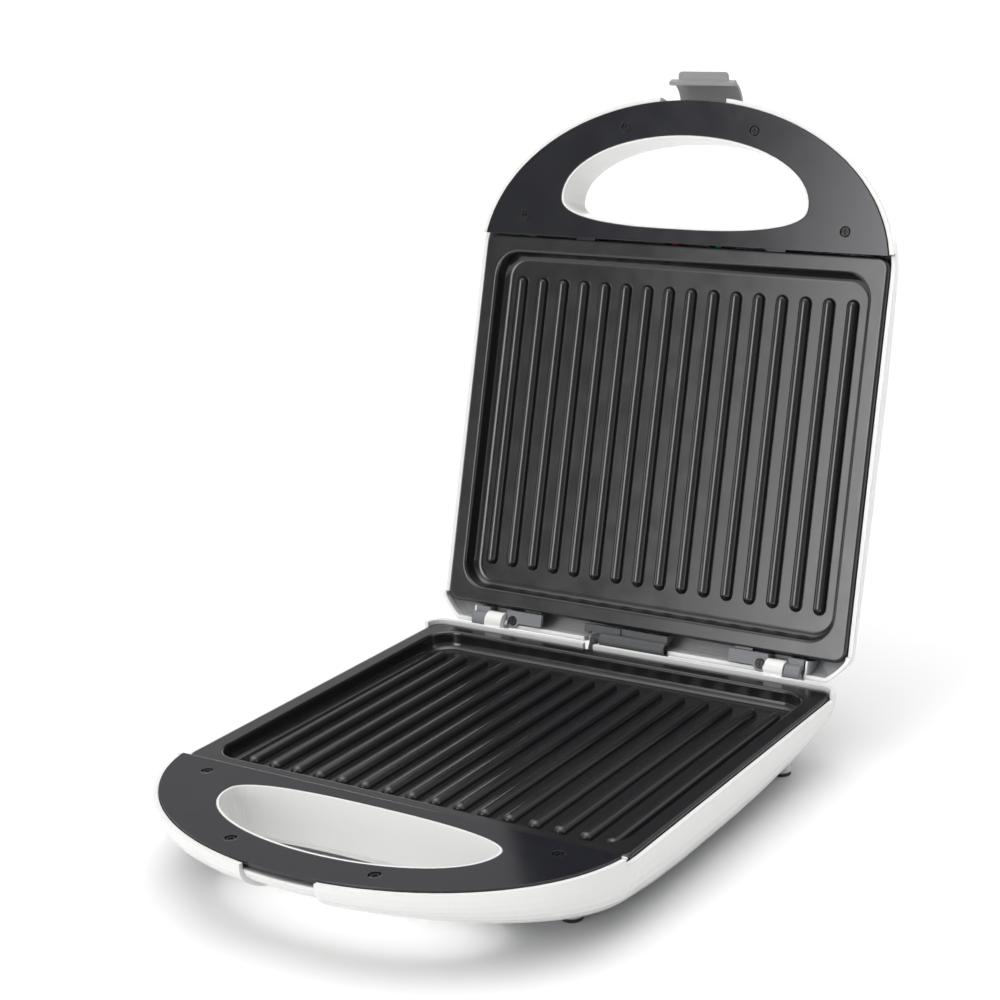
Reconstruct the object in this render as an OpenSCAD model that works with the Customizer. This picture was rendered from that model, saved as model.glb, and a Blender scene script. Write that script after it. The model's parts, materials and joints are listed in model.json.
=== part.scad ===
// Sandwich toaster: two shells, two ribbed grill plates, rear hinge and front snap clip, in mm.
// Both halves are drawn about the joint between them, which is the plane z = 0 of this drawing.
// The lid is drawn shut, then turned open about the hinge axis. The front is towards -y.

/* [Body] */
// Width across the two shells
shell_w = 260; // [230:1:300]
// Height of the base above the table
table_gap = 4.8; // [4:0.1:20]
// Depth of the elliptic front of the shells
nose_l = 91.9; // [82:0.1:110]
// Distance over which the front ellipse runs beside the plates
nose_lap = 9.4; // [7:0.1:15]
// Thickness of the shell walls
wall = 2.4; // [1.8:0.1:2.6]
// How far the side walls round in to the flat outer faces
round_r = 22; // [20:0.5:26]
// Gap from each front shell edge to the joint
edge_gap = 1.4; // [1:0.1:1.6]
// Gap from each side shell edge to the joint
side_gap = 4.25; // [3.5:0.05:4.6]
// Distance from the plates to the rear face of the base shell
base_back = 3.2; // [3:0.1:3.4]
// Distance from the plates to the rear face of the lid shell
lid_back = 10.8; // [10.4:0.1:11.8]

/* [Shell depths] */
// Depth of the base at its front tip
base_nose_d = 16.5; // [15:0.1:20]
// Greatest depth of the base
base_crown_d = 37.2; // [36:0.1:38.5]
// Depth of the base at the rear
base_rear_d = 24.2; // [23.5:0.1:28]
// Thickness of the lid at its front tip
lid_nose_d = 24.3; // [24:0.1:27]
// Greatest thickness of the lid
lid_crown_d = 32.8; // [32:0.1:36]
// Thickness of the lid at the rear
lid_rear_d = 21.8; // [21:0.1:25]

/* [Handles] */
// Distance from the side of the shell to the end of a handle opening
grip_side = 53.4; // [50:0.5:70]
// Distance from the plates to the middle of a handle opening
grip_gap = 24.1; // [22.8:0.1:25.8]
// Thickness of a handle at the middle of the front
loop_w = 23.5; // [22.4:0.1:30]
// Reach of a handle opening towards the plates
grip_back = 14.7; // [10:0.1:15.5]
// Thickness of a handle trim
trim_t = 1.8; // [1.4:0.1:2]
// Gap from each trim face to the joint
trim_gap = 0.25; // [0.15:0.05:0.4]
// Clearance round each trim
trim_play = 0.3; // [0.2:0.05:0.5]

/* [Grill plates] */
// Front to back length of a plate
plate_l = 214.4; // [190:0.2:240]
// Gap from the side of a plate to the side of its shell
plate_side = 3; // [2.9:0.1:10]
// Distance from the plate rim to the joint
plate_gap = 2.3; // [1.9:0.1:2.6]
// Width of the rim round the well
rim_w = 9.8; // [8:0.2:13]
// Depth of the well below the rim
well_d = 9.9; // [8:0.1:10.2]
// Thickness of the casting
cast_t = 2.8; // [2.2:0.1:3]
// Rounding of the well corners in plan
well_r = 14; // [8:0.5:20]
// Number of ribs
rib_count = 16; // [4:1:17]
// Distance from the side of a plate to the middle of its first rib
rib_side = 22; // [20:0.5:40]
// Distance from the front or rear of a plate to a rib's end
rib_end = 22.8; // [17.4:0.2:50]
// Radius of the round back of a rib
rib_r = 3.4; // [2:0.1:4.2]
// Height of a rib above the well floor
rib_h = 4; // [2:0.1:4.6]

/* [Hinge and latch] */
// Angle to which the lid stands open
open_angle = 106.6; // [90:0.2:108]
// Distance of the hinge axis behind the plates
hinge_back = 8.3; // [8.1:0.1:8.6]
// Height of the hinge axis above the joint
hinge_z = 0.6; // [0.4:0.1:0.8]
// Radius of the hinge ears
ear_r = 5.6; // [5:0.1:6]
// Radius of the hinge pins
pin_r = 2; // [1.6:0.1:2.2]
// Radial clearance of the hinge and latch pins
pin_play = 0.05; // [0.02:0.01:0.08]
// Width of the snap clip
clip_w = 38.8; // [36:0.2:39]
// Radius of the bow of the snap clip
clip_bow_r = 16; // [15:0.2:17]
// Width of the hook of the snap clip
hook_w = 40.6; // [40:0.2:42]

/* [Details] */
// Radius of the self-tapping screw shanks
screw_r = 1.4; // [1.1:0.1:1.5]
// Radius of the self-tapping screw heads
head_r = 2.7; // [2.3:0.1:2.9]
// Radius of the feet
foot_r = 6; // [5:0.1:7]
// Thickness of the foot pads
pad_t = 2; // [1:0.1:2.4]
// Radius of the cord inlet
inlet_r = 3.6; // [3:0.1:4]
// Number of vent slots in the base
vent_count = 7; // [3:2:9]

/* [Hidden] */

eps = 0.01;
through = 200;
deep = 60;
half_w = shell_w / 2;
half_l = plate_l / 2;
plate_w = shell_w - 2 * plate_side;
joint_h = base_crown_d + table_gap;
nose_start = half_l - nose_lap;
front_y = -nose_start - nose_l;
base_rear = half_l + base_back;
lid_rear = half_l + lid_back;
hinge_y = half_l + hinge_back;
grip_y = half_l + grip_gap;
grip_half = half_w - grip_side;
grip_front = -front_y - loop_w - grip_y;
rib_pitch = (plate_w - 2 * rib_side) / (rib_count - 1);
rib_l = plate_l - 2 * rib_end;
base_depths = [base_nose_d, base_crown_d, base_rear_d];
lid_depths = [lid_nose_d, lid_crown_d, lid_rear_d];
// Start and end of each shell's rise from its front tip, start of its fall and the fall's power.
base_rise = [front_y - 60.3, -44, -10, 2.2];
lid_rise = [front_y + 64.7, -40, -30, 1.5];
base_corner = 10.6;
lid_corner = 13;
corner_growth = 0.6;
// Powers that shape the rear corners: 1 is an arc and 2 is a straight chamfer.
base_corner_form = 1;
lid_corner_form = 1.7;

arc_steps = 48;
side_steps = 7;
corner_steps = 5;
round_steps = 8;
grip_steps = 72;

seam_y = -half_l - 0.4;
step_y = seam_y - 1.4;
model_y = -16.5;

side_screw = [half_w - 29.4, seam_y - 11.4];
front_screw = [half_w - 89.6, front_y + 18.7];
trim_screws = [[-side_screw[0], side_screw[1]], [-front_screw[0], front_screw[1]],
    front_screw, side_screw];
trim_boss_r = 3.8;
trim_head_z = trim_gap + 0.35;
head_t = 1;
trim_screw_l = 12;

rim_z = plate_gap;
well_z = rim_z + well_d;
cast_z = well_z + cast_t;
plate_corner = 7;
plate_edge_r = 1.8;
lip_r = 1.6;
floor_r = 4.2;
skirt_h = 4.2;
plate_boss_r = 4;
plate_boss_end = cast_z + 7.2;
post_x = plate_w / 2 - 43;
post_y = half_l - 55.2;
plate_posts = [[-post_x, -post_y], [post_x, -post_y], [post_x, post_y], [-post_x, post_y]];
front_lug_x = plate_w / 2 - 67;
lug_x = [half_w - 68, half_w - 57];
lug_reach = half_l + 4.8;

element_r = 3.3;
element_z = cast_z + element_r + 0.15;
element_x = plate_w / 2 - 65;
element_bend = 24;
element_back = half_l - 45.2;
element_front = -element_back;
element_tail = 14;
tail_y = element_back + element_tail + 0.2;
sheet_t = 0.8;
sheet_z = plate_boss_end + 0.1;
sheet_size = [plate_w - 58, plate_l - 74.4];
tray_h = 5.8;
stat_at = [0, -18];
wire_x = 6;

post_r = 4.6;
post_top = sheet_z + sheet_t + 0.1;
post_step = post_top + 3.4;
plate_screw_r = 1.7;
plate_head_r = 3;

front_foot = [half_w - 36.5, 7.9 - half_l];
rear_foot = [half_w - 22.5, base_rear - 27.6];
feet = [[-front_foot[0], front_foot[1]], front_foot, rear_foot, [-rear_foot[0], rear_foot[1]]];
foot_in = 14;

// The hinge stands at ear_x: its ear, the block of its pin and its screw lie along x.
ear_x = [half_w - 46, half_w - 35];
ear_gap = 0.4;
block_x = [ear_x[1] + ear_gap, ear_x[1] + ear_gap + 9];
block_r = 4.6;
bracket_y = half_l + 0.8;
bracket_screw = [ear_x[0] - 4.7, hinge_y - 1.8];
pin_x = [ear_x[0] - 2.2, block_x[1] - 0.2];
rib_x = block_x[1] + 0.8;

// The clip is drawn about its pin: its sheet bows round clip_bow and ends at the hook.
clip_pivot = [front_y + 9.2, 13.2];
clip_bow = [0.9, -5.6];
clip_top = 5.8;
clip_t = 1.8;
clip_hub_r = 3.4;
hook_low = -17.3;
hook_top = -14.5;
hook_in = -6.3;
tab_w = 31;
tab_l = 5.7;
tab_r = 2.4;
tab_turn = -20.7;
cheek_t = 2.4;
clip_pin_r = 1.5;
notch_w = hook_w + 0.8;
notch_d = 14.5;
slot_floor = 4.4;
latch_recess = 2.2;
rest_turn = -53;

grip_rear_edge = 27;
inlet_at = [-52, -18.5];
block_size = [24, 10, 8];
clamp_w = 18;
clamp_l = 6;
clamp_y = base_rear - 30.4;
clamp_z = 1.55 + wall - depth_at(clamp_y, base_depths, base_rise, base_rear);
block_at = [inlet_at[0] + 11, clamp_y - 4, clamp_z];
wire_r = 1.2;
clamp_screw_x = 7;
inlet_boss_r = 8;
lens_at = [[-14, seam_y + 0.2], [14, seam_y + 0.2]];
lens_r = 3.6;
sleeve_x = [-24, 14];
sleeve_r = 2.4;
guard_x = [-31, 22];

function smooth(t) = let (c = min(max(t, 0), 1)) c * c * (3 - 2 * c);

function rise_share(y, rise) = smooth((y - rise[0]) / (rise[1] - rise[0]));

// Depth of a shell at the distance y, from its depths at the front tip, crown and rear.
function depth_at(y, d, rise, rear) = y < rise[2]
    ? d[1] - (d[1] - d[0]) * (1 - rise_share(y, rise)) / (1 - rise_share(front_y, rise))
    : d[1] - (d[1] - d[2]) * pow(min((y - rise[2]) / (rear - rise[2]), 1), rise[3]);

// Plan outline drawn in by inset: front arc, left side, rear corners, right side.
// The rear corners grow rounder towards the flat outer face.
function plan(inset, rear, corner, form, skin) = let (
    a = half_w - inset,
    b = nose_l - inset,
    r = corner - skin + corner_growth * (inset - skin),
    cx = a - r,
    cy = rear - inset - r,
    run = cy + nose_start
) concat(
    [for (i = [0:arc_steps]) let (t = 180 * i / arc_steps) [a * cos(t), -nose_start - b * sin(t)]],
    [for (i = [1:side_steps]) [-a, -nose_start + run * i / side_steps]],
    [for (i = [1:corner_steps]) let (t = 90 * i / corner_steps)
        [-cx - r * pow(cos(t), form), cy + r * pow(sin(t), form)]],
    [for (i = [corner_steps:-1:1]) let (t = 90 * i / corner_steps)
        [cx + r * pow(cos(t), form), cy + r * pow(sin(t), form)]],
    [for (i = [side_steps:-1:1]) [a, -nose_start + run * i / side_steps]]
);

// Solid bowl of a shell, drawn in by skin: rings round in from the side walls to the underside.
module bowl(skin, top, d, rise, rear, corner, form) {
    n = len(plan(0, rear, corner, form, 0));
    mid = arc_steps / 2;
    pairs = (n - arc_steps - 1) / 2;
    rings = concat(
        [[for (p = plan(skin, rear, corner, form, skin)) [p[0], p[1], top]]],
        [for (k = [0:round_steps]) let (t = 90 * k / round_steps)
            [for (p = plan(skin + (round_r - skin) * (1 - cos(t)), rear, corner, form, skin))
                [p[0], p[1], -side_gap - (depth_at(p[1], d, rise, rear) - skin - side_gap) * sin(t)]]]
    );
    last = n * (round_steps + 1);
    walls = [for (k = [0:round_steps], i = [0:n - 1]) let (
            a = k * n + i,
            b = k * n + (i + 1) % n
        ) each [[a, a + n, b + n], [a, b + n, b]]];
    // Strips from the left side to the right side close the top and the underside.
    cap = concat(
        [for (i = [0:mid - 1]) i == mid - 1
            ? [arc_steps - i, mid, i]
            : [arc_steps - i, arc_steps - i - 1, i + 1, i]],
        [for (j = [0:pairs - 1]) [(n - j) % n, n - j - 1, arc_steps + j + 1, arc_steps + j]]
    );
    polyhedron(
        points = [for (r = rings) each r],
        faces = concat(
            [for (f = cap) [for (i = [len(f) - 1:-1:0]) f[i]]],
            walls,
            [for (f = cap) [for (i = f) last + i]]
        )
    );
}

// Outline of a handle opening, drawn out by grow.
module grip_shape(grow) {
    polygon([for (i = [0:grip_steps - 1]) let (
            t = 360 * i / grip_steps,
            e = sin(t) > 0 ? 0.77 : 1,
            reach = sin(t) > 0 ? grip_back : grip_front
        ) [(grip_half + grow) * sign(cos(t)) * pow(abs(cos(t)), e),
            -grip_y + (reach + grow) * sign(sin(t)) * pow(abs(sin(t)), e)]]);
}

// Half-elliptic front outline drawn in by inset, cut off at the line y = back.
module front_shape(inset, back) {
    intersection() {
        polygon(concat([[-half_w + inset, 0], [half_w - inset, 0]],
            [for (i = [0:arc_steps]) let (t = 180 * i / arc_steps)
                [(half_w - inset) * cos(t), -nose_start - (nose_l - inset) * sin(t)]]));
        translate([-half_w, front_y])
            square([shell_w, back - front_y]);
    }
}

module round_rect(w, l, r) {
    square([w - 2 * r, l], center = true);
    square([w, l - 2 * r], center = true);
    for (x = [-1, 1], y = [-1, 1])
        translate([x * (w / 2 - r), y * (l / 2 - r)])
            circle(r, $fn = 48);
}

// Slab whose edges carry the section of the children, from x = 0 to its outer face.
// The corner radius in plan is r and the middle is a plain block of the height h below z = 0.
module framed_slab(w, l, h, r) {
    translate([-w / 2 + r, -l / 2 + r, -h])
        cube([w - 2 * r, l - 2 * r, h]);
    for (s = [-1, 1]) {
        translate([s * (w / 2 - r), s * (l / 2 - r), 0])
            rotate([90, 0, s > 0 ? 0 : 180])
                linear_extrude(l - 2 * r)
                    children();
        translate([-s * (w / 2 - r), s * (l / 2 - r), 0])
            rotate([90, 0, s * 90])
                linear_extrude(w - 2 * r)
                    children();
    }
    for (a = [0:3])
        translate([(a == 0 || a == 3 ? 1 : -1) * (w / 2 - r), (a < 2 ? 1 : -1) * (l / 2 - r), 0])
            rotate([0, 0, a * 90])
                rotate_extrude(angle = 90, $fn = 48)
                    children();
}

// Section of an edge that is round at the top.
module round_edge(h, r, edge) {
    translate([0, -h])
        square([r, h - edge]);
    translate([0, -h])
        square([r - edge, h]);
    translate([r - edge, -edge])
        circle(edge, $fn = 32);
}

// Slab with rounded corners and a round upper edge: it spans z = 0 to -h.
module soft_slab(w, l, h, r, edge) {
    framed_slab(w, l, h, r)
        round_edge(h, r, edge);
}

module turned_over() {
    mirror([0, 0, 1])
        children();
}

module on_hinge() {
    translate([0, hinge_y, hinge_z])
        rotate([-open_angle, 0, 0])
            translate([0, -hinge_y, -hinge_z])
                children();
}

module in_place() {
    translate([0, model_y, joint_h])
        children();
}

module open_lid() {
    in_place()
        on_hinge()
            children();
}

module x_rod(x0, x1, y, z, r) {
    translate([x0, y, z])
        rotate([0, 90, 0])
            cylinder(h = x1 - x0, r = r, $fn = 48);
}

// Rod with round joints through a list of points.
module wire(points, r) {
    for (i = [0:len(points) - 2]) {
        a = points[i];
        d = points[i + 1] - a;
        translate(a)
            rotate([0, acos(d[2] / norm(d)), atan2(d[1], d[0])])
                cylinder(h = norm(d), r = r, $fn = 16);
        if (i > 0)
            translate(a)
                sphere(r * 1.04, $fn = 16);
    }
}

// Cross-head screw with its head top at z = 0 and its shank downwards.
module screw(head, thick, shank, length) {
    difference() {
        union() {
            translate([0, 0, -thick])
                cylinder(h = thick, r1 = head, r2 = head * 0.86, $fn = 36);
            translate([0, 0, -length])
                cylinder(h = length - thick + eps, r = shank, $fn = 24);
            translate([0, 0, -length - shank])
                cylinder(h = shank + eps, r1 = shank * 0.3, r2 = shank, $fn = 24);
        }
        for (a = [0, 90])
            rotate([0, 0, a])
                translate([-head * 0.58, -0.3, -thick * 0.7])
                    cube([head * 1.16, 0.6, thick]);
    }
}

// Cut that lowers both side edges beside the plate, with a rounded step at its front end.
module side_drop(rear) {
    tip_r = 1;
    rotate([90, 0, 90])
        translate([0, 0, -half_w - 1])
            linear_extrude(shell_w + 2)
                difference() {
                    translate([step_y, -side_gap])
                        square([rear - step_y, side_gap + 1]);
                    difference() {
                        translate([step_y - 1, -edge_gap - tip_r])
                            square([1 + tip_r, tip_r + 2]);
                        translate([step_y + tip_r, -edge_gap - tip_r])
                            circle(tip_r, $fn = 24);
                        translate([step_y + tip_r * 0.3, -edge_gap - tip_r * 3])
                            square([tip_r, tip_r * 2]);
                    }
                }
}

module trim() {
    difference() {
        union() {
            translate([0, 0, -trim_gap - trim_t])
                linear_extrude(trim_t)
                    difference() {
                        front_shape(wall + trim_play, seam_y);
                        grip_shape(1.2 + trim_play);
                    }
            // Locating rib under the outer edge.
            translate([0, 0, -trim_gap - trim_t - 2.5])
                linear_extrude(2.5 + eps)
                    difference() {
                        front_shape(wall + 3.4, seam_y - 4);
                        front_shape(wall + 4.6, seam_y - 5);
                    }
        }
        for (s = trim_screws)
            translate([s[0], s[1], -trim_head_z - head_t])
                cylinder(h = 3, r = head_r + 0.3, $fn = 36);
        for (s = trim_screws)
            translate([s[0], s[1], -6])
                cylinder(h = 6, r = screw_r + 0.15, $fn = 24);
        translate([-notch_w / 2 - 2.3, front_y, -8])
            cube([notch_w + 4.6, 9, 8 - trim_gap - trim_t]);
    }
}

module trim_screw_set() {
    for (s = trim_screws)
        translate([s[0], s[1], -trim_head_z])
            screw(head_r, head_t - 0.05, screw_r, trim_screw_l);
}

module ribs() {
    for (i = [0:rib_count - 1])
        translate([(i - (rib_count - 1) / 2) * rib_pitch, 0, -well_z + rib_h - rib_r]) {
            rotate([90, 0, 0])
                cylinder(h = rib_l - 2 * rib_r, r = rib_r, center = true, $fn = 36);
            for (s = [-1, 1])
                translate([0, s * (rib_l / 2 - rib_r), 0])
                    sphere(rib_r, $fn = 36);
        }
}

module plate_body() {
    well_w = plate_w - 2 * rim_w;
    well_l = plate_l - 2 * rim_w;
    difference() {
        union() {
            translate([0, 0, -rim_z])
                soft_slab(plate_w, plate_l, skirt_h, plate_corner, plate_edge_r);
            translate([0, 0, -cast_z])
                linear_extrude(well_d)
                    round_rect(well_w + 2 * cast_t, well_l + 2 * cast_t, well_r + cast_t);
        }
        // Hollow below the rim.
        translate([0, 0, -rim_z - skirt_h - 1])
            linear_extrude(skirt_h + 1 - cast_t)
                difference() {
                    round_rect(plate_w - 2 * cast_t, plate_l - 2 * cast_t, plate_corner - cast_t);
                    round_rect(well_w + 2 * cast_t, well_l + 2 * cast_t, well_r + cast_t);
                }
        // Well with a round foot and a round lip.
        translate([0, 0, -well_z])
            mirror([0, 0, 1])
                framed_slab(well_w, well_l, well_d + 1, well_r) {
                    round_edge(well_d + 1, well_r, floor_r);
                    difference() {
                        translate([0, -well_d - 1])
                            square([well_r + lip_r, lip_r + 1]);
                        translate([well_r + lip_r, -well_d + lip_r])
                            circle(lip_r, $fn = 32);
                    }
                }
    }
}

module plate_bosses() {
    for (p = plate_posts)
        translate([p[0], p[1], -plate_boss_end])
            difference() {
                cylinder(h = plate_boss_end - cast_z + 1, r = plate_boss_r, $fn = 36);
                translate([0, 0, -1])
                    cylinder(h = 8, r = plate_screw_r + 0.05, $fn = 24);
            }
}

module front_lugs() {
    for (x = [-front_lug_x, front_lug_x])
        translate([x - 6, -half_l - 4, -rim_z - cast_t])
            cube([12, 5, cast_t - 0.4]);
}

module grill_plate() {
    difference() {
        union() {
            plate_body();
            ribs();
            front_lugs();
        }
        translate([-half_w, -half_w, -cast_z - 20])
            cube([shell_w, shell_w, 20]);
    }
    plate_bosses();
}

module heating_element() {
    translate([0, 0, -element_z]) {
        for (s = [-1, 1]) {
            translate([s * element_x, element_back, 0])
                rotate([90, 0, 0])
                    cylinder(h = element_back - element_front - element_bend, r = element_r, $fn = 32);
            translate([s * element_x, element_back + element_tail, 0])
                rotate([90, 0, 0])
                    cylinder(h = element_tail, r = 1.5, $fn = 24);
            translate([s * (element_x - element_bend), element_front + element_bend, 0])
                rotate([0, 0, s > 0 ? -90 : 180])
                    rotate_extrude(angle = 90, $fn = 64)
                        translate([element_bend, 0])
                            circle(element_r, $fn = 32);
        }
        x_rod(-element_x + element_bend, element_x - element_bend, element_front, 0, element_r);
    }
}

module reflector() {
    difference() {
        translate([0, 0, -sheet_z - sheet_t])
            mirror([0, 0, 1])
                soft_slab(sheet_size[0], sheet_size[1], tray_h, 12, 2);
        translate([0, 0, -sheet_z])
            linear_extrude(tray_h)
                round_rect(sheet_size[0] - 2 * sheet_t, sheet_size[1] - 2 * sheet_t, 12 - sheet_t);
        // Way through for the thermostat and its wires.
        translate([stat_at[0], stat_at[1], -through / 2])
            cylinder(h = through, r = 11.5, $fn = 48);
        for (x = [-element_x, wire_x, element_x])
            translate([x - 3, sheet_size[1] / 2 - 3, -sheet_z + 0.6])
                cube([6, 6, tray_h]);
        for (p = plate_posts)
            translate([p[0], p[1], -through / 2])
                cylinder(h = through, r = plate_screw_r + 0.3, $fn = 24);
    }
}

module handle_liner() {
    translate([0, 0, -deep])
        linear_extrude(deep - trim_gap - 0.15)
            difference() {
                grip_shape(1.2);
                grip_shape(0);
            }
    translate([0, 0, -deep])
        linear_extrude(deep - trim_gap - trim_t - 0.3)
            difference() {
                grip_shape(2.2);
                grip_shape(0);
            }
}

module trim_bosses() {
    for (s = trim_screws)
        translate([s[0], s[1], -deep])
            cylinder(h = deep - trim_gap - trim_t - 0.1, r = trim_boss_r, $fn = 36);
}

module trim_pilots() {
    for (s = trim_screws)
        translate([s[0], s[1], -trim_screw_l - 5])
            cylinder(h = trim_screw_l + 5, r = screw_r + 0.05, $fn = 24);
}

module base_bowl(skin, top) {
    bowl(skin, top, base_depths, base_rise, base_rear, base_corner, base_corner_form);
}

module lid_bowl(skin, top) {
    bowl(skin, top, lid_depths, lid_rise, lid_rear, lid_corner, lid_corner_form);
}

// Round ear on the hinge axis, with a web that runs down into the rear wall of the base.
module ear() {
    x_rod(ear_x[0], ear_x[1], hinge_y, hinge_z, ear_r);
    translate([ear_x[0], 0, 0])
        rotate([90, 0, 90])
            linear_extrude(ear_x[1] - ear_x[0])
                polygon([[hinge_y - ear_r, hinge_z], [hinge_y + 2, hinge_z],
                    [hinge_y - 0.6, -8], [base_rear - 3, -17], [base_rear - 1.4, -2]]);
}

module base_shell_body() {
    union() {
        difference() {
            union() {
                base_bowl(0, -0.5);
                for (f = feet)
                    translate([f[0], f[1], -joint_h + pad_t])
                        cylinder(h = foot_in, r1 = foot_r - 0.6, r2 = foot_r, $fn = 48);
                translate([inlet_at[0], base_rear - 9.4, inlet_at[1]])
                    rotate([-90, 0, 0])
                        cylinder(h = 7.6, r = inlet_boss_r, $fn = 48);
            }
            base_bowl(wall, 1);
        }
        intersection() {
            base_bowl(0.4, -0.2);
            union() {
                handle_liner();
                trim_bosses();
                for (p = plate_posts)
                    translate([p[0], p[1], -deep])
                        cylinder(h = deep - post_top, r = post_r, $fn = 36);
                // Rests of the plate's front lugs.
                for (s = [-1, 1])
                    translate([s * front_lug_x - 5, seam_y - 4.2, -deep])
                        cube([10, 3, deep - rim_z - cast_t - 0.2]);
                // Block behind the recess under the latch slot.
                translate([-notch_w / 2 - 2, front_y + 1, -deep])
                    cube([notch_w + 4, loop_w - 2, deep - slot_floor]);
                // Seats of the terminal block and the cord clamp.
                translate([block_at[0] - 1, block_at[1] - 1, -deep])
                    cube([block_size[0] + 2, block_size[1] + 2, deep + block_at[2]]);
                translate([inlet_at[0] - clamp_w / 2, clamp_y, -deep])
                    cube([clamp_w, clamp_l, deep + clamp_z]);
            }
        }
        for (s = [0, 1])
            mirror([s, 0, 0]) {
                ear();
                // Rib below the step beside the handle opening.
                translate([front_lug_x - 20, seam_y - 8.6, -30])
                    cube([19, 1.6, 8]);
            }
    }
}

module base_shell() {
    color([0.93, 0.93, 0.91])
        in_place()
            difference() {
                base_shell_body();
                translate([0, 0, -deep])
                    linear_extrude(deep)
                        grip_shape(0);
                side_drop(base_rear - 10.4);
                translate([-half_w - 1, front_y - 1, -edge_gap])
                    difference() {
                        cube([shell_w + 2, step_y - front_y + 1, 2]);
                        translate([half_w + 1, 1 - front_y, -1])
                            linear_extrude(4)
                                grip_shape(2.4);
                    }
                trim_pilots();
                for (p = plate_posts) {
                    translate([p[0], p[1], -deep])
                        cylinder(h = deep - post_step, r = plate_head_r + 0.4, $fn = 36);
                    translate([p[0], p[1], -deep])
                        cylinder(h = deep, r = plate_screw_r + 0.2, $fn = 24);
                }
                // Slot that takes the hook of the snap clip.
                translate([-notch_w / 2, front_y - 1, -slot_floor])
                    cube([notch_w, 6, slot_floor + 1]);
                // Recess below the slot that follows the shell's surface.
                difference() {
                    translate([-notch_w / 2, front_y - 1, -deep])
                        cube([notch_w, loop_w - 2.5, deep - slot_floor + eps]);
                    base_bowl(latch_recess, 1);
                }
                // Relief under the rear edge of the handle opening.
                translate([0, 0, -deep])
                    linear_extrude(deep - grip_rear_edge)
                        intersection() {
                            grip_shape(1.2);
                            translate([-half_w, -grip_y])
                                square([shell_w, 40]);
                        }
                for (s = [-1, 1])
                    translate([inlet_at[0] + s * clamp_screw_x, clamp_y + clamp_l / 2, clamp_z - 1.9])
                        cylinder(h = 3, r = screw_r - 0.05, $fn = 24);
                for (s = [0, 1])
                    mirror([s, 0, 0])
                        x_rod(ear_x[0] - 1, ear_x[1] + 1, hinge_y, hinge_z, pin_r + pin_play);
                translate([inlet_at[0], base_rear - 15.4, inlet_at[1]])
                    rotate([-90, 0, 0])
                        cylinder(h = 20, r = inlet_r + 1.5, $fn = 48);
                translate([inlet_at[0], base_rear - 1.8, inlet_at[1]])
                    rotate([-90, 0, 0])
                        cylinder(h = 5, r = inlet_r + 3.2, $fn = 48);
                // Way out for the wires to the lid.
                translate([sleeve_x[0] - 3.2, base_rear - wall - 6, -13.4])
                    cube([6.4, wall + 8, 14]);
                for (f = feet)
                    translate([f[0], f[1], -joint_h + pad_t - 1])
                        cylinder(h = 5, r = 2.6, $fn = 32);
                for (i = [0:vent_count - 1])
                    translate([(i - (vent_count - 1) / 2) * 14 - 1.5, -22, -deep])
                        cube([3, 44, 40]);
            }
}

module base_handle_trim() {
    color([0.12, 0.12, 0.14])
        in_place()
            trim();
}

module base_trim_screws() {
    color([0.2, 0.2, 0.2])
        in_place()
            trim_screw_set();
}

module lower_grill_plate() {
    color([0.2, 0.2, 0.21])
        in_place()
            grill_plate();
}

module lower_heating_element() {
    color([0.55, 0.54, 0.52])
        in_place()
            heating_element();
}

module lower_reflector() {
    color([0.75, 0.75, 0.76])
        in_place()
            reflector();
}

module lower_plate_screws() {
    color([0.7, 0.7, 0.72])
        in_place()
            for (p = plate_posts)
                translate([p[0], p[1], -post_step - 1.6])
                    turned_over()
                        screw(plate_head_r, 1.5, plate_screw_r, post_step - plate_boss_end + 6);
}

module foot_pads() {
    color([0.15, 0.15, 0.15])
        in_place()
            for (f = feet)
                translate([f[0], f[1], -joint_h]) {
                    cylinder(h = pad_t - 0.05, r1 = foot_r - 1, r2 = foot_r - 0.7, $fn = 48);
                    cylinder(h = pad_t + 3.6, r = 2.5, $fn = 32);
                }
}

// Rear mouth of a terminal of the block.
function port(i) = block_at + [4 + 8 * i, block_size[1] + 0.2, block_size[2] / 2];

module terminal_block() {
    color([0.85, 0.84, 0.8])
        in_place()
            translate(block_at + [0, 0, 0.02])
                difference() {
                    cube(block_size);
                    for (x = [4, 12, 20]) {
                        translate([x, -1, block_size[2] / 2])
                            rotate([-90, 0, 0])
                                cylinder(h = block_size[1] + 2, r = 1.6, $fn = 24);
                        translate([x, block_size[1] / 2, block_size[2] / 2])
                            cylinder(h = block_size[2], r = 1.4, $fn = 24);
                    }
                }
}

module base_wiring() {
    color([0.45, 0.25, 0.15])
        in_place() {
            wire([port(0), port(0) + [0, 4.8, 0], [-element_x, port(0)[1] + 4.8, -element_z],
                [-element_x, tail_y, -element_z]], wire_r);
            wire([port(2), port(2) + [0, 5.8, 0], [element_x, port(2)[1] + 5.8, -element_z],
                [element_x, tail_y, -element_z]], wire_r);
            wire([port(1), port(1) + [0, 5.8, 0.4], [sleeve_x[0] - 1, base_rear - 10.2, -18.2],
                [sleeve_x[0], base_rear - 8.8, -14.4]], wire_r);
        }
}

module cord_inlet_sleeve() {
    color([0.2, 0.2, 0.2])
        in_place()
            translate([inlet_at[0], base_rear - 9.2, inlet_at[1]])
                rotate([-90, 0, 0])
                    difference() {
                        union() {
                            cylinder(h = 8, r = inlet_r + 1.4, $fn = 48);
                            translate([0, 0, 7.5])
                                cylinder(h = 1.8, r = inlet_r + 2.8, $fn = 48);
                        }
                        translate([0, 0, -1])
                            cylinder(h = 20, r = inlet_r, $fn = 48);
                    }
}

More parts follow.
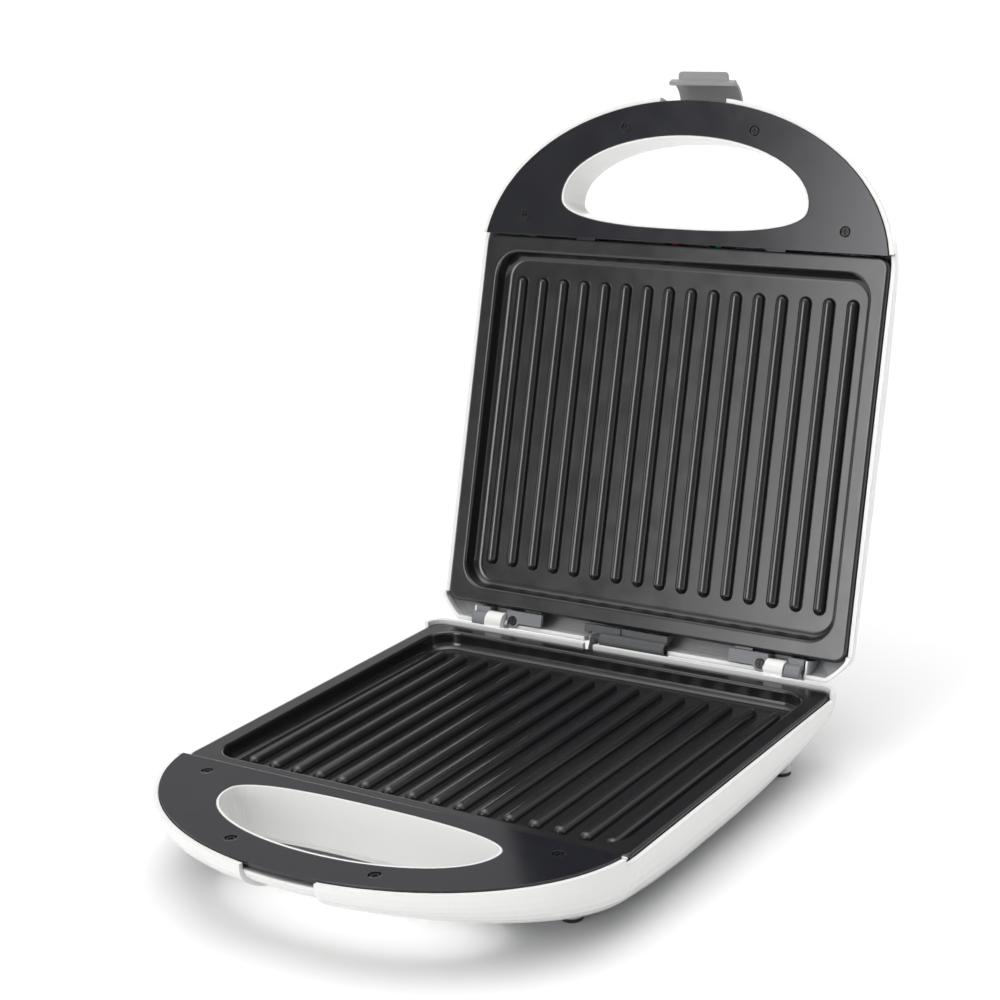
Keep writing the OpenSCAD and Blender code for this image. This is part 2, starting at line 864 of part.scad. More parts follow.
module cord_clamp() {
    color([0.85, 0.84, 0.8])
        in_place()
            translate([inlet_at[0], clamp_y, clamp_z + 0.02])
                difference() {
                    union() {
                        translate([-clamp_w / 2, 0, 0])
                            cube([clamp_w, clamp_l, 4]);
                        translate([0, 0, 2])
                            rotate([-90, 0, 0])
                                cylinder(h = clamp_l, r = 5, $fn = 36);
                    }
                    translate([0, -1, 1.2])
                        rotate([-90, 0, 0])
                            cylinder(h = clamp_l + 2, r = 3.2, $fn = 36);
                    translate([-clamp_w / 2 - 1, -1, -6])
                        cube([clamp_w + 2, clamp_l + 2, 6]);
                    for (s = [-1, 1])
                        translate([s * clamp_screw_x, clamp_l / 2, -1])
                            cylinder(h = 12, r = screw_r + 0.1, $fn = 24);
                }
}

module cord_clamp_screws() {
    color([0.7, 0.7, 0.72])
        in_place()
            for (s = [-1, 1])
                translate([inlet_at[0] + s * clamp_screw_x, clamp_y + clamp_l / 2, clamp_z + 5.1])
                    screw(1.9, 1, screw_r - 0.1, 5.6);
}

module hinge_wire_sleeve() {
    color([0.1, 0.1, 0.1])
        in_place()
            wire([[sleeve_x[0], base_rear - 7.4, -10.6], [sleeve_x[0], base_rear - 1.4, -10.4],
                [sleeve_x[0], hinge_y, hinge_z], [sleeve_x[1], hinge_y, hinge_z]], sleeve_r);
}

module bracket_boss() {
    translate([bracket_screw[0], bracket_screw[1] - 1.6, 8.3])
        cylinder(h = 40, r = 4.2, $fn = 36);
}

module lid_shell_body() {
    union() {
        difference() {
            turned_over()
                lid_bowl(0, -edge_gap);
            turned_over()
                lid_bowl(wall, 1);
        }
        intersection() {
            turned_over()
                lid_bowl(0.4, -0.2);
            union() {
                turned_over() {
                    handle_liner();
                    trim_bosses();
                }
                for (s = [0, 1])
                    mirror([s, 0, 0]) {
                        bracket_boss();
                        translate([rib_x, half_l + 1.2, edge_gap])
                            cube([1.2, 10, 26]);
                        translate([notch_w / 2, front_y, trim_gap + trim_t + 0.3])
                            cube([2, notch_d + 2, 40]);
                        translate([front_lug_x - 5, seam_y - 4.2, rim_z + cast_t + 0.2])
                            cube([10, 3, deep]);
                    }
                translate([-notch_w / 2 - 1, front_y + notch_d, trim_gap + trim_t + 0.3])
                    cube([notch_w + 2, 2, 40]);
            }
        }
    }
}

module lid_shell() {
    color([0.93, 0.93, 0.91])
        open_lid()
            difference() {
                lid_shell_body();
                linear_extrude(deep)
                    grip_shape(0);
                turned_over()
                    side_drop(lid_rear - 15);
                turned_over()
                    trim_pilots();
                // Notch that the snap clip turns in.
                translate([-notch_w / 2, front_y - 1, -1])
                    cube([notch_w, notch_d + 1, 40]);
                x_rod(-notch_w / 2 - 2.5, notch_w / 2 + 2.5, clip_pivot[0], clip_pivot[1],
                    clip_pin_r + 0.02);
                for (s = [0, 1])
                    mirror([s, 0, 0]) {
                        translate([ear_x[0] - ear_gap, hinge_y - 8, -1])
                            cube([block_x[1] - ear_x[0] + 2 * ear_gap, 20, 1 + hinge_z + ear_r + 0.8]);
                        x_rod(pin_x[0] - 1, ear_x[0], hinge_y, hinge_z, pin_r + 0.4);
                        translate([bracket_screw[0], bracket_screw[1], 0])
                            cylinder(h = 14.5, r = screw_r + 0.05, $fn = 24);
                    }
                translate([guard_x[0] - 0.3, lid_rear - 8, -1])
                    cube([guard_x[1] - guard_x[0] + 0.6, 12, 1 + hinge_z + 5.2]);
                for (p = lens_at)
                    translate([p[0], p[1], 10])
                        cylinder(h = 40, r = lens_r + 0.2, $fn = 36);
            }
}

module lid_handle_trim() {
    color([0.12, 0.12, 0.14])
        open_lid()
            turned_over()
                trim();
}

module lid_trim_screws() {
    color([0.2, 0.2, 0.2])
        open_lid()
            turned_over()
                trim_screw_set();
}

module upper_grill_plate() {
    color([0.2, 0.2, 0.21])
        open_lid() {
            turned_over()
                grill_plate();
            for (s = [0, 1])
                mirror([s, 0, 0])
                    translate([lug_x[0], half_l - 2, rim_z + 0.3])
                        cube([lug_x[1] - lug_x[0], lug_reach - half_l + 2, cast_t - 0.3]);
        }
}

module upper_heating_element() {
    color([0.55, 0.54, 0.52])
        open_lid()
            turned_over()
                heating_element();
}

module upper_reflector() {
    color([0.75, 0.75, 0.76])
        open_lid()
            turned_over()
                reflector();
}

module upper_reflector_screws() {
    color([0.7, 0.7, 0.72])
        open_lid()
            for (p = plate_posts)
                translate([p[0], p[1], sheet_z + sheet_t + 1.6])
                    screw(plate_head_r, 1.5, plate_screw_r, 7);
}

module hinge_bracket() {
    difference() {
        union() {
            // Flat pad and screw tab seen beside the rear edge of the plate.
            translate([ear_x[0] - 24, bracket_y, trim_gap])
                cube([16, 7, 2]);
            translate([ear_x[0] - 9, bracket_y, trim_gap])
                cube([8.6, bracket_screw[1] - bracket_y, 8]);
            translate([bracket_screw[0], bracket_screw[1], trim_gap])
                cylinder(h = 1, r = 4.3, $fn = 48);
            // Bridge over the ear and block that holds the pin.
            translate([ear_x[0] - 9, bracket_y, 7.4])
                cube([block_x[1] - ear_x[0] + 9, 6, 0.85]);
            x_rod(block_x[0], block_x[1], hinge_y, hinge_z, block_r);
            translate([block_x[0], bracket_y, hinge_z])
                cube([block_x[1] - block_x[0], 6, 7.6]);
        }
        x_rod(pin_x[0], pin_x[1] + 1, hinge_y, hinge_z, pin_r + 0.02);
        translate([bracket_screw[0], bracket_screw[1], -1])
            cylinder(h = 30, r = screw_r + 0.1, $fn = 24);
        translate([bracket_screw[0], bracket_screw[1], -1])
            cylinder(h = 2, r = head_r + 0.2, $fn = 36);
        translate([ear_x[0] - ear_gap, bracket_y - 8, -10])
            cube([block_x[0] - ear_x[0] + ear_gap, 30, 10 + hinge_z + ear_r + 0.4]);
    }
}

module hinge_bracket_left() {
    color([0.48, 0.49, 0.5])
        open_lid()
            mirror([1, 0, 0])
                hinge_bracket();
}

module hinge_bracket_right() {
    color([0.48, 0.49, 0.5])
        open_lid()
            hinge_bracket();
}

module hinge_bracket_screws() {
    color([0.25, 0.25, 0.25])
        open_lid()
            for (s = [-1, 1])
                translate([s * bracket_screw[0], bracket_screw[1], trim_gap + 0.05])
                    turned_over()
                        screw(head_r, 0.65, screw_r, 12);
}

module hinge_pins() {
    color([0.7, 0.7, 0.72])
        open_lid()
            for (s = [0, 1])
                mirror([s, 0, 0])
                    x_rod(pin_x[0] + 0.1, pin_x[1], hinge_y, hinge_z, pin_r);
}

module thermostat() {
    color([0.82, 0.8, 0.76])
        open_lid()
            translate([stat_at[0], stat_at[1], cast_z + 0.05]) {
                cylinder(h = 1.2, r = 10, $fn = 48);
                cylinder(h = 7, r = 8, $fn = 48);
                for (s = [-1, 1])
                    translate([s * 6 - 2, -3, 6])
                        cube([4, 6, 3]);
            }
}

module thermal_fuse() {
    color([0.75, 0.7, 0.5])
        open_lid() {
            translate([26, -24, cast_z + 2.2])
                rotate([-90, 0, 0])
                    cylinder(h = 13, r = 2, $fn = 32);
            translate([26, -30, cast_z + 2.2])
                rotate([-90, 0, 0])
                    cylinder(h = 25, r = 0.5, $fn = 16);
        }
}

module indicator_lamps() {
    color([0.85, 0.75, 0.65])
        open_lid()
            for (p = lens_at)
                translate([p[0], p[1], 8.5]) {
                    cylinder(h = 7.6, r = 2.4, $fn = 32);
                    translate([0, 0, 7.6])
                        sphere(2.4, $fn = 32);
                }
}

module lamp_lens(p) {
    top = depth_at(p[1], lid_depths, lid_rise, lid_rear);
    open_lid()
        translate([p[0], p[1], 0])
            difference() {
                union() {
                    translate([0, 0, top - wall - 1])
                        cylinder(h = wall + 1.6, r = lens_r, $fn = 36);
                    translate([0, 0, top - wall - 2.4])
                        cylinder(h = 1.6, r = lens_r + 1.4, $fn = 36);
                }
                translate([0, 0, top - wall - 3])
                    cylinder(h = wall + 2, r = lens_r - 1, $fn = 36);
            }
}

module power_lamp_lens() {
    color([0.75, 0.1, 0.08])
        lamp_lens(lens_at[0]);
}

module ready_lamp_lens() {
    color([0.1, 0.55, 0.15])
        lamp_lens(lens_at[1]);
}

// Lead that leaves the guard at x = from, climbs behind the plate to top and ends at the point end.
module lead(from, climb_x, top, turn, end) {
    wire([[from, hinge_y - 4.5, 6.6], [climb_x, hinge_y - 10, 12], top, turn, end], wire_r);
}

module lid_wiring() {
    color([0.45, 0.25, 0.15])
        open_lid() {
            lead(19, 21, [24, hinge_y - 12.5, 16.2], [element_x, tail_y + 15.8, 18.6],
                [element_x, tail_y, element_z]);
            lead(14, 12, [9, hinge_y - 12.5, 16.2], [-element_x, tail_y + 14.8, 18.6],
                [-element_x, tail_y, element_z]);
            lead(16.5, 16.5, [14, hinge_y - 12.7, 16.2], [wire_x, tail_y + 9.8, 19],
                [wire_x, stat_at[1] + 8.2, 19]);
        }
}

module wire_guard() {
    color([0.4, 0.41, 0.42])
        open_lid()
            difference() {
                union() {
                    translate([guard_x[0], bracket_y, trim_gap])
                        cube([guard_x[1] - guard_x[0], 7.4, 2.2]);
                    translate([guard_x[0], bracket_y, trim_gap])
                        cube([guard_x[1] - guard_x[0], 2, 5]);
                    x_rod(sleeve_x[0] + 5, guard_x[1], hinge_y, hinge_z, 4.3);
                }
                x_rod(guard_x[0] - 1, guard_x[1] + 1, hinge_y, hinge_z, sleeve_r + 0.6);
                translate([sleeve_x[0] - 3.2, bracket_y + 4, -10])
                    cube([8.2, 12, 20]);
                translate([-8, bracket_y - 2, trim_gap - 1])
                    cube([9, 6, 2]);
                translate([guard_x[0] - 1, hinge_y - 3.2, hinge_z + 2])
                    cube([guard_x[1] - guard_x[0] + 2, 3.2, 10]);
            }
}

module latch_pin() {
    color([0.7, 0.7, 0.72])
        open_lid()
            x_rod(-notch_w / 2 - 1.8, notch_w / 2 + 1.8, clip_pivot[0], clip_pivot[1], clip_pin_r);
}

// Snap clip drawn latched about its pin: +y is towards the handle and -z is towards the hook.
module clip_latched() {
    difference() {
        union() {
            // Bowed sheet from the hook up to the cheeks.
            intersection() {
                difference() {
                    x_rod(-clip_w / 2, clip_w / 2, clip_bow[0], clip_bow[1], clip_bow_r);
                    x_rod(-clip_w, clip_w, clip_bow[0], clip_bow[1], clip_bow_r - clip_t);
                }
                translate([-clip_w, -clip_bow_r, hook_low])
                    cube([2 * clip_w, clip_bow_r + hook_in - 0.5, clip_top - hook_low]);
            }
            // Hook bar across the clip.
            rotate([90, 0, 90])
                translate([0, 0, -hook_w / 2])
                    linear_extrude(hook_w)
                        polygon([[hook_in - 4, hook_low], [hook_in - 0.7, hook_low],
                            [hook_in, hook_low + 1.7], [hook_in - 1.4, hook_low + 2.1],
                            [hook_in - 1.7, hook_top], [hook_in - 4.3, hook_top]]);
            // Thumb tab.
            translate([0, hook_in - 2.5, hook_low + 0.9])
                rotate([tab_turn, 0, 0]) {
                    translate([-tab_w / 2, -clip_t, -tab_l + tab_r])
                        cube([tab_w, clip_t - 0.2, tab_l - tab_r]);
                    translate([-tab_w / 2 + tab_r, -clip_t, -tab_l])
                        cube([tab_w - 2 * tab_r, clip_t - 0.2, tab_r + 1]);
                    for (s = [-1, 1])
                        translate([s * (tab_w / 2 - tab_r), -0.2, -tab_l + tab_r])
                            rotate([90, 0, 0])
                                cylinder(h = clip_t - 0.2, r = tab_r, $fn = 36);
                }
            for (s = [-1, 1])
                translate([s * (clip_w / 2 - cheek_t / 2) - cheek_t / 2, 0, 0])
                    rotate([90, 0, 90])
                        linear_extrude(cheek_t) {
                            circle(clip_hub_r, $fn = 48);
                            polygon([[0, clip_hub_r], [-10, clip_top], [-13.4, -0.4], [-1.5, -3]]);
                        }
        }
        x_rod(-clip_w, clip_w, 0, 0, clip_pin_r + pin_play);
    }
}

module latch_clip() {
    color([0.55, 0.55, 0.56])
        open_lid()
            translate([0, clip_pivot[0], clip_pivot[1]])
                rotate([rest_turn, 0, 0])
                    clip_latched();
}

base_shell();
base_handle_trim();
base_trim_screws();
lower_grill_plate();
lower_heating_element();
lower_reflector();
lower_plate_screws();
foot_pads();
terminal_block();
base_wiring();
cord_inlet_sleeve();
cord_clamp();
cord_clamp_screws();
hinge_wire_sleeve();
lid_shell();
lid_handle_trim();
lid_trim_screws();
upper_grill_plate();
upper_heating_element();
upper_reflector();
upper_reflector_screws();
hinge_bracket_left();
hinge_bracket_right();
hinge_bracket_screws();
hinge_pins();
thermostat();
thermal_fuse();
indicator_lamps();
power_lamp_lens();
ready_lamp_lens();
lid_wiring();
wire_guard();
latch_pin();
latch_clip();
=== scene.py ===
import json
import math

import bpy
from mathutils import Matrix, Vector


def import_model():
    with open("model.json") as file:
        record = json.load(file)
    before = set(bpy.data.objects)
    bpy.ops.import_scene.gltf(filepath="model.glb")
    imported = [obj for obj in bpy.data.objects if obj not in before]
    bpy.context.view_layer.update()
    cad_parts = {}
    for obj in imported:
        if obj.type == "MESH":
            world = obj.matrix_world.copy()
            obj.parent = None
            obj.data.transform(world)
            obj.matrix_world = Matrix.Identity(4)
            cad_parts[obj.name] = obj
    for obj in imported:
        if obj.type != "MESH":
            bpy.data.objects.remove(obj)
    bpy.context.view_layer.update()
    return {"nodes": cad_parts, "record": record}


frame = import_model()
nodes = frame["nodes"]


# ---------------------------------------------------------------- materials

# Sockets of the Mix node in its colour mode: first colour, second colour and result.
MIX_A, MIX_B, MIX_RESULT = 6, 7, 2


class Mat:
    """A Principled material with a few procedural layers in object space, in metres."""

    def __init__(self, name, color, rough, metallic=0.0, **sockets):
        self.m = bpy.data.materials.new(name)
        self.m.use_nodes = True
        self.t = self.m.node_tree
        self.b = next(n for n in self.t.nodes if n.type == "BSDF_PRINCIPLED").inputs
        self.b["Base Color"].default_value = (*color, 1)
        self.b["Roughness"].default_value = rough
        self.b["Metallic"].default_value = metallic
        for k, v in sockets.items():
            self.b[k.replace("_", " ")].default_value = v
        self.coord = self.node("ShaderNodeTexCoord").outputs["Object"]
        self.normal = None

    def node(self, kind, **props):
        n = self.t.nodes.new(kind)
        for k, v in props.items():
            setattr(n, k, v)
        return n

    def link(self, a, b):
        self.t.links.new(a, b)

    def noise(self, scale, detail=3.0, rough=0.55, stretch=None):
        src = self.coord
        if stretch:
            mp = self.node("ShaderNodeMapping")
            mp.inputs["Scale"].default_value = stretch
            self.link(src, mp.inputs["Vector"])
            src = mp.outputs["Vector"]
        n = self.node("ShaderNodeTexNoise")
        n.inputs["Scale"].default_value = scale
        n.inputs["Detail"].default_value = detail
        n.inputs["Roughness"].default_value = rough
        self.link(src, n.inputs["Vector"])
        return n.outputs["Fac"]

    def ramp(self, fac, a, b, lo=0.35, hi=0.65):
        """a where fac is lo or less, b where it is hi or more."""
        r = self.node("ShaderNodeMapRange")
        r.inputs["From Min"].default_value = lo
        r.inputs["From Max"].default_value = hi
        r.inputs["To Min"].default_value = a
        r.inputs["To Max"].default_value = b
        self.link(fac, r.inputs["Value"])
        return r.outputs["Result"]

    def vary_color(self, fac, dark, light):
        mix = self.node("ShaderNodeMix", data_type="RGBA")
        mix.inputs[MIX_A].default_value = (*dark, 1)
        mix.inputs[MIX_B].default_value = (*light, 1)
        self.link(fac, mix.inputs[0])
        self.link(mix.outputs[MIX_RESULT], self.b["Base Color"])

    def vary_rough(self, fac, lo, hi, a=0.35, b=0.65):
        self.link(self.ramp(fac, lo, hi, a, b), self.b["Roughness"])

    def bump(self, height, distance, strength=1.0):
        n = self.node("ShaderNodeBump")
        n.inputs["Distance"].default_value = distance
        n.inputs["Strength"].default_value = strength
        self.link(height, n.inputs["Height"])
        if self.normal is not None:
            self.link(self.normal, n.inputs["Normal"])
        self.normal = n.outputs["Normal"]
        self.link(self.normal, self.b["Normal"])

    def edges(self, radius):
        """1 along outer edges and 0 on open faces."""
        soft = self.node("ShaderNodeBevel", samples=4)
        soft.inputs["Radius"].default_value = radius
        dot = self.node("ShaderNodeVectorMath", operation="DOT_PRODUCT")
        self.link(soft.outputs["Normal"], dot.inputs[0])
        self.link(self.node("ShaderNodeNewGeometry").outputs["Normal"], dot.inputs[1])
        return self.ramp(dot.outputs["Value"], 1.0, 0.0, 0.86, 0.995)

    def wear(self, radius, scale, low, high):
        """Patchy rub along the edges that changes colour a little."""
        mul = self.node("ShaderNodeMath", operation="MULTIPLY")
        self.link(self.edges(radius), mul.inputs[0])
        self.link(self.ramp(self.noise(scale, 4), 0.15, 1.0, 0.42, 0.6), mul.inputs[1])
        self.vary_color(mul.outputs["Value"], low, high)

    def paint_crevice_shade(self, reach, shade_tint):
        """Painted shade: greys the colour where other surfaces crowd in, read from ambient
        occlusion.
        """
        # painted shade: the nearer other surfaces crowd in, the more the colour turns to the shade
        # tint
        near = self.node("ShaderNodeAmbientOcclusion", samples=8)
        near.inputs["Distance"].default_value = reach
        mix = self.node("ShaderNodeMix", data_type="RGBA")
        mix.inputs[MIX_A].default_value = (*shade_tint, 1)
        self.link(self.b["Base Color"].links[0].from_socket, mix.inputs[MIX_B])
        self.link(self.ramp(near.outputs["AO"], 0.0, 1.0, 0.05, 0.6), mix.inputs[0])
        self.link(mix.outputs[MIX_RESULT], self.b["Base Color"])

    def bevel(self, radius):
        """Rounds the look of the edges. It comes before the bumps."""
        n = self.node("ShaderNodeBevel", samples=6)
        n.inputs["Radius"].default_value = radius
        self.normal = n.outputs["Normal"]
        self.link(self.normal, self.b["Normal"])


def shell_plastic():
    m = Mat("shell_white_gloss", (0.73, 0.73, 0.718), 0.24)
    m.bevel(0.0005)
    m.vary_color(m.noise(35, 3), (0.722, 0.722, 0.71), (0.738, 0.738, 0.727))
    # painted shade: bluish grey in crevices and under overhangs within 3 cm
    m.paint_crevice_shade(0.03, (0.3, 0.31, 0.33))
    m.vary_rough(m.noise(90, 3), 0.21, 0.27)
    m.bump(m.noise(1400, 2), 0.000012, 0.2)
    return m.m


def trim_plastic():
    m = Mat("trim_black_gloss", (0.0085, 0.009, 0.013), 0.14, IOR=1.55)
    m.bevel(0.0004)
    m.wear(0.0006, 120, (0.0081, 0.0086, 0.0125), (0.02, 0.021, 0.026))
    m.vary_rough(m.noise(60, 4), 0.12, 0.16)
    m.bump(m.noise(900, 2), 0.000005, 0.15)
    return m.m


def grill_coating():
    m = Mat("grill_nonstick_coating", (0.012, 0.012, 0.0132), 0.17, IOR=1.6)
    m.bevel(0.0008)
    m.wear(0.001, 90, (0.0112, 0.0112, 0.0124), (0.024, 0.024, 0.025))
    m.vary_rough(m.noise(70, 3), 0.15, 0.2)
    m.bump(m.noise(1800, 2), 0.000008, 0.2)
    m.bump(m.noise(60, 2), 0.00004, 0.1)
    return m.m


def grey_plastic(name, color, rough, grain=1500, bevel=0.0003):
    m = Mat(name, color, rough)
    m.bevel(bevel)
    dark = tuple(c * 0.93 for c in color)
    light = tuple(min(1, c * 1.07) for c in color)
    m.vary_color(m.noise(120, 3), dark, light)
    m.vary_rough(m.noise(300, 3), rough - 0.05, rough + 0.05)
    m.bump(m.noise(grain, 2), 0.00003, 0.3)
    return m.m


def metal(name, color, rough, stretch=None, bevel=0.0002):
    m = Mat(name, color, rough, metallic=1.0)
    m.bevel(bevel)
    dark = tuple(c * 0.88 for c in color)
    light = tuple(min(1, c * 1.05) for c in color)
    m.vary_color(m.noise(90, 4, stretch=stretch), dark, light)
    m.vary_rough(m.noise(500, 3, stretch=stretch), rough - 0.07, rough + 0.07)
    m.bump(m.noise(900, 2, stretch=stretch), 0.00001, 0.3)
    return m.m


def rubber():
    m = Mat("foot_rubber", (0.022, 0.022, 0.022), 0.75)
    m.bevel(0.0003)
    m.vary_color(m.noise(350, 3), (0.017, 0.017, 0.017), (0.03, 0.03, 0.03))
    m.bump(m.noise(1600, 3), 0.00005, 0.4)
    return m.m


def sleeving():
    m = Mat("braided_sleeving", (0.03, 0.03, 0.03), 0.8)
    w = m.node("ShaderNodeTexWave", wave_type="BANDS", bands_direction="DIAGONAL")
    w.inputs["Scale"].default_value = 420
    w.inputs["Distortion"].default_value = 1.5
    m.link(m.coord, w.inputs["Vector"])
    m.vary_color(w.outputs["Fac"], (0.015, 0.015, 0.015), (0.06, 0.06, 0.06))
    m.bump(w.outputs["Fac"], 0.0002, 0.5)
    return m.m


def lens(name, color):
    m = Mat(name, color, 0.12, Transmission_Weight=0.55, IOR=1.49)
    m.bevel(0.0003)
    m.vary_rough(m.noise(400, 2), 0.08, 0.18)
    return m.m


SLOTS = {
    "shell": shell_plastic(),
    "trim": trim_plastic(),
    "grill_coating": grill_coating(),
    "dark_screw": metal("screw_black_oxide", (0.035, 0.034, 0.033), 0.28),
    "element_sheath": metal("element_steel_sheath", (0.32, 0.29, 0.26), 0.42),
    "reflector_sheet": metal("reflector_aluminised_sheet", (0.78, 0.78, 0.79), 0.34, (1, 12, 1)),
    "zinc_screw": metal("zinc_plated_steel", (0.66, 0.66, 0.68), 0.3),
    "rubber": rubber(),
    "terminal_plastic": grey_plastic("terminal_block_plastic", (0.72, 0.7, 0.63), 0.5),
    "wire_jacket": grey_plastic("wire_silicone_jacket", (0.25, 0.09, 0.04), 0.45),
    "sleeving": sleeving(),
    "hinge_grey": grey_plastic("hinge_grey_plastic", (0.155, 0.16, 0.172), 0.42),
    "guard_grey": grey_plastic("guard_dark_plastic", (0.05, 0.052, 0.056), 0.45),
    "ceramic": grey_plastic("thermostat_ceramic", (0.7, 0.68, 0.62), 0.55),
    "fuse_metal": metal("fuse_brass_case", (0.68, 0.52, 0.26), 0.33),
    "lamp_glass": lens("neon_lamp_glass", (0.9, 0.72, 0.6)),
    "red_lens": lens("lens_red", (0.55, 0.02, 0.015)),
    "green_lens": lens("lens_green", (0.02, 0.35, 0.06)),
    "latch_grey": grey_plastic("latch_grey_plastic", (0.235, 0.235, 0.24), 0.36),
}


SMOOTH_BELOW = 32


def smooth_by_angle(obj, degrees):
    """Smooth shading, with the edges that turn by more than this kept sharp."""
    mesh = obj.data
    limit = math.cos(math.radians(degrees))
    mesh.polygons.foreach_set("use_smooth", [True] * len(mesh.polygons))
    normals = [p.normal.copy() for p in mesh.polygons]
    faces = {}
    for p in mesh.polygons:
        for k in p.edge_keys:
            faces.setdefault(k, []).append(p.index)
    sharp = []
    for e in mesh.edges:
        f = faces.get(e.key, [])
        sharp.append(len(f) != 2 or normals[f[0]].dot(normals[f[1]]) < limit)
    mesh.edges.foreach_set("use_edge_sharp", sharp)


record = frame["record"]
slot_of = {s["node"]: s["material_slot"] for s in record["subparts"]}
for name, obj in nodes.items():
    obj.data.materials.clear()
    obj.data.materials.append(SLOTS[slot_of[name]])
    smooth_by_angle(obj, SMOOTH_BELOW)


# ---------------------------------------------------------------- studio

DOME_LEVEL = 1.87
# The dome's brightness by the sine of the height above the horizon.
DOME_STEPS = ((0, 1.35), (0.05, 1.1), (0.12, 0.26), (0.4, 0.19), (0.74, 0.5), (0.9, 1.2), (1, 1.95))
# The share that the dome loses at the right side and gains towards the back.
RIGHT_SIDE_LOSS = 0.3
BACK_GAIN = 0.3
BOX_LEVEL = 5.6
# Upright edges of the front box, in degrees from the front towards the left.
BOX_LEFT, BOX_RIGHT = 27, 0
# How the box fades at each edge, as sines: where it is dark and where it is fully bright.
FADE_LEFT = (-0.05, 0.07)
FADE_RIGHT = (-0.05, 0.15)
FADE_LOW = (0.03, 0.1)
FADE_HIGH = (0.68, 0.56)
# Where the loss at the right side starts and where it is full, as sines.
LOSS_FADE = (0.1, 0.75)

FLOOR_HALF = 14.0
FLOOR_CELLS = 40

# The photograph's camera: turned to the left, tipped down and rolled, in degrees.
CAMERA_AT = (0.55637, -0.82026, 0.44388)
CAMERA_YAW, CAMERA_PITCH, CAMERA_ROLL = 31.3, 14.86, 2.2
CAMERA_LENS = 74.31
CAMERA_SHIFT = (-0.12, -0.058)


def box_light(name, at, to, size, watts):
    data = bpy.data.lights.new(name, "AREA")
    data.shape = "RECTANGLE"
    data.size, data.size_y = size
    data.energy = watts
    obj = bpy.data.objects.new(name, data)
    obj.location = at
    obj.rotation_euler = (Vector(to) - Vector(at)).to_track_quat("-Z", "Y").to_euler()
    bpy.context.scene.collection.objects.link(obj)


def floor():
    """A plain white floor."""
    mesh = bpy.data.meshes.new("studio_floor")
    n, half = FLOOR_CELLS, FLOOR_HALF
    verts = [(-half + 2 * half * i / n, -half + 2 * half * j / n, 0)
             for j in range(n + 1) for i in range(n + 1)]
    row = n + 1
    faces = [(j * row + i, j * row + i + 1, (j + 1) * row + i + 1, (j + 1) * row + i)
             for j in range(n) for i in range(n)]
    mesh.from_pydata(verts, [], faces)
    obj = bpy.data.objects.new("studio_floor", mesh)
    bpy.context.scene.collection.objects.link(obj)
    m = Mat("studio_floor_white", (0.8, 0.8, 0.8), 0.85)
    m.vary_rough(m.noise(4, 2), 0.8, 0.9)
    mesh.materials.append(m.m)


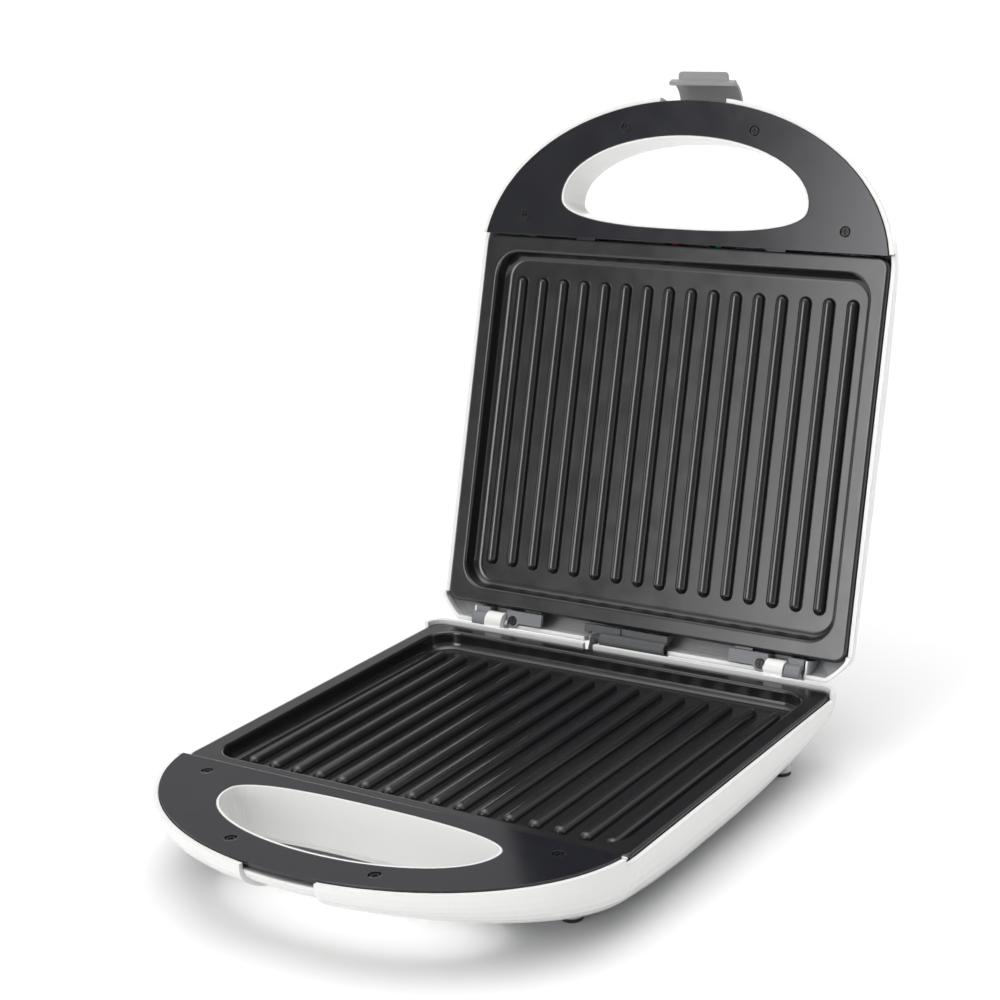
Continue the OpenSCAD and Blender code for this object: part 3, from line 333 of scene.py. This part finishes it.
def world():
    """Soft studio dome: white horizon, dim band above it, bright ceiling, wide front box."""
    w = bpy.data.worlds.new("studio_world")
    bpy.context.scene.world = w
    w.use_nodes = True
    t = w.node_tree
    t.nodes.clear()
    out = t.nodes.new("ShaderNodeOutputWorld")
    bg = t.nodes.new("ShaderNodeBackground")
    direction = t.nodes.new("ShaderNodeTexCoord").outputs["Generated"]
    sep = t.nodes.new("ShaderNodeSeparateXYZ")
    t.links.new(direction, sep.inputs[0])

    def math_node(operation, a, b):
        n = t.nodes.new("ShaderNodeMath")
        n.operation = operation
        for k, v in enumerate((a, b)):
            if isinstance(v, (int, float)):
                n.inputs[k].default_value = v
            else:
                t.links.new(v, n.inputs[k])
        return n.outputs[0]

    def soft_step(value, dark, bright):
        n = t.nodes.new("ShaderNodeMapRange")
        n.interpolation_type = "SMOOTHSTEP"
        n.inputs["From Min"].default_value = dark
        n.inputs["From Max"].default_value = bright
        t.links.new(value, n.inputs["Value"])
        return n.outputs["Result"]

    def side_of(azimuth, sign):
        """Sine of the angle past an upright edge, its azimuth counted from the front leftwards."""
        a = math.radians(azimuth)
        x = math_node("MULTIPLY", sep.outputs["X"], sign * math.cos(a))
        y = math_node("MULTIPLY", sep.outputs["Y"], -sign * math.sin(a))
        return math_node("ADD", x, y)

    ramp = t.nodes.new("ShaderNodeValToRGB")
    t.links.new(sep.outputs["Z"], ramp.inputs["Fac"])
    steps = ramp.color_ramp.elements
    steps[0].position = DOME_STEPS[0][0]
    steps[1].position = DOME_STEPS[-1][0]
    for height, level in DOME_STEPS[1:-1]:
        steps.new(height)
    for step, (height, level) in zip(steps, DOME_STEPS):
        step.color = (level, level, level, 1)
    box = math_node("MULTIPLY", soft_step(side_of(BOX_LEFT, 1), *FADE_LEFT),
                    soft_step(side_of(BOX_RIGHT, -1), *FADE_RIGHT))
    box = math_node("MULTIPLY", box, soft_step(sep.outputs["Z"], *FADE_LOW))
    box = math_node("MULTIPLY", box, soft_step(sep.outputs["Z"], *FADE_HIGH))
    box = math_node("MULTIPLY", box, BOX_LEVEL)
    dim = math_node("MULTIPLY", soft_step(sep.outputs["X"], *LOSS_FADE), RIGHT_SIDE_LOSS)
    dome = math_node("MULTIPLY", ramp.outputs["Color"], DOME_LEVEL)
    dome = math_node("MULTIPLY", dome, math_node("SUBTRACT", 1, dim))
    behind = math_node("MULTIPLY", sep.outputs["Y"], BACK_GAIN)
    dome = math_node("MULTIPLY", dome, math_node("ADD", 1, behind))
    total = math_node("ADD", dome, box)
    bg.inputs["Color"].default_value = (1, 1, 1, 1)
    t.links.new(total, bg.inputs["Strength"])
    t.links.new(bg.outputs["Background"], out.inputs["Surface"])


def camera():
    """The camera at the photograph's place and angle."""
    yaw, pitch, roll = (math.radians(v) for v in (CAMERA_YAW, CAMERA_PITCH, CAMERA_ROLL))
    data = bpy.data.cameras.new("photo_camera")
    data.sensor_width = 36
    data.lens = CAMERA_LENS
    data.shift_x, data.shift_y = CAMERA_SHIFT
    data.clip_end = 50
    obj = bpy.data.objects.new("photo_camera", data)
    level = Vector((-math.sin(yaw), math.cos(yaw), 0))
    fwd = level * math.cos(pitch) - Vector((0, 0, math.sin(pitch)))
    right = Vector((math.cos(yaw), math.sin(yaw), 0))
    down = fwd.cross(right)
    side = math.cos(roll) * right + math.sin(roll) * down
    under = -math.sin(roll) * right + math.cos(roll) * down
    turn = Matrix((side, -under, -fwd)).transposed()
    obj.matrix_world = Matrix.Translation(CAMERA_AT) @ turn.to_4x4()
    bpy.context.scene.collection.objects.link(obj)
    bpy.context.scene.camera = obj


floor()
world()
camera()
box_light("softbox_right", at=(1.6, 0.3, 0.9), to=(0, 0, 0.15), size=(0.5, 1.1), watts=2)
bpy.context.scene.view_settings.view_transform = "Standard"
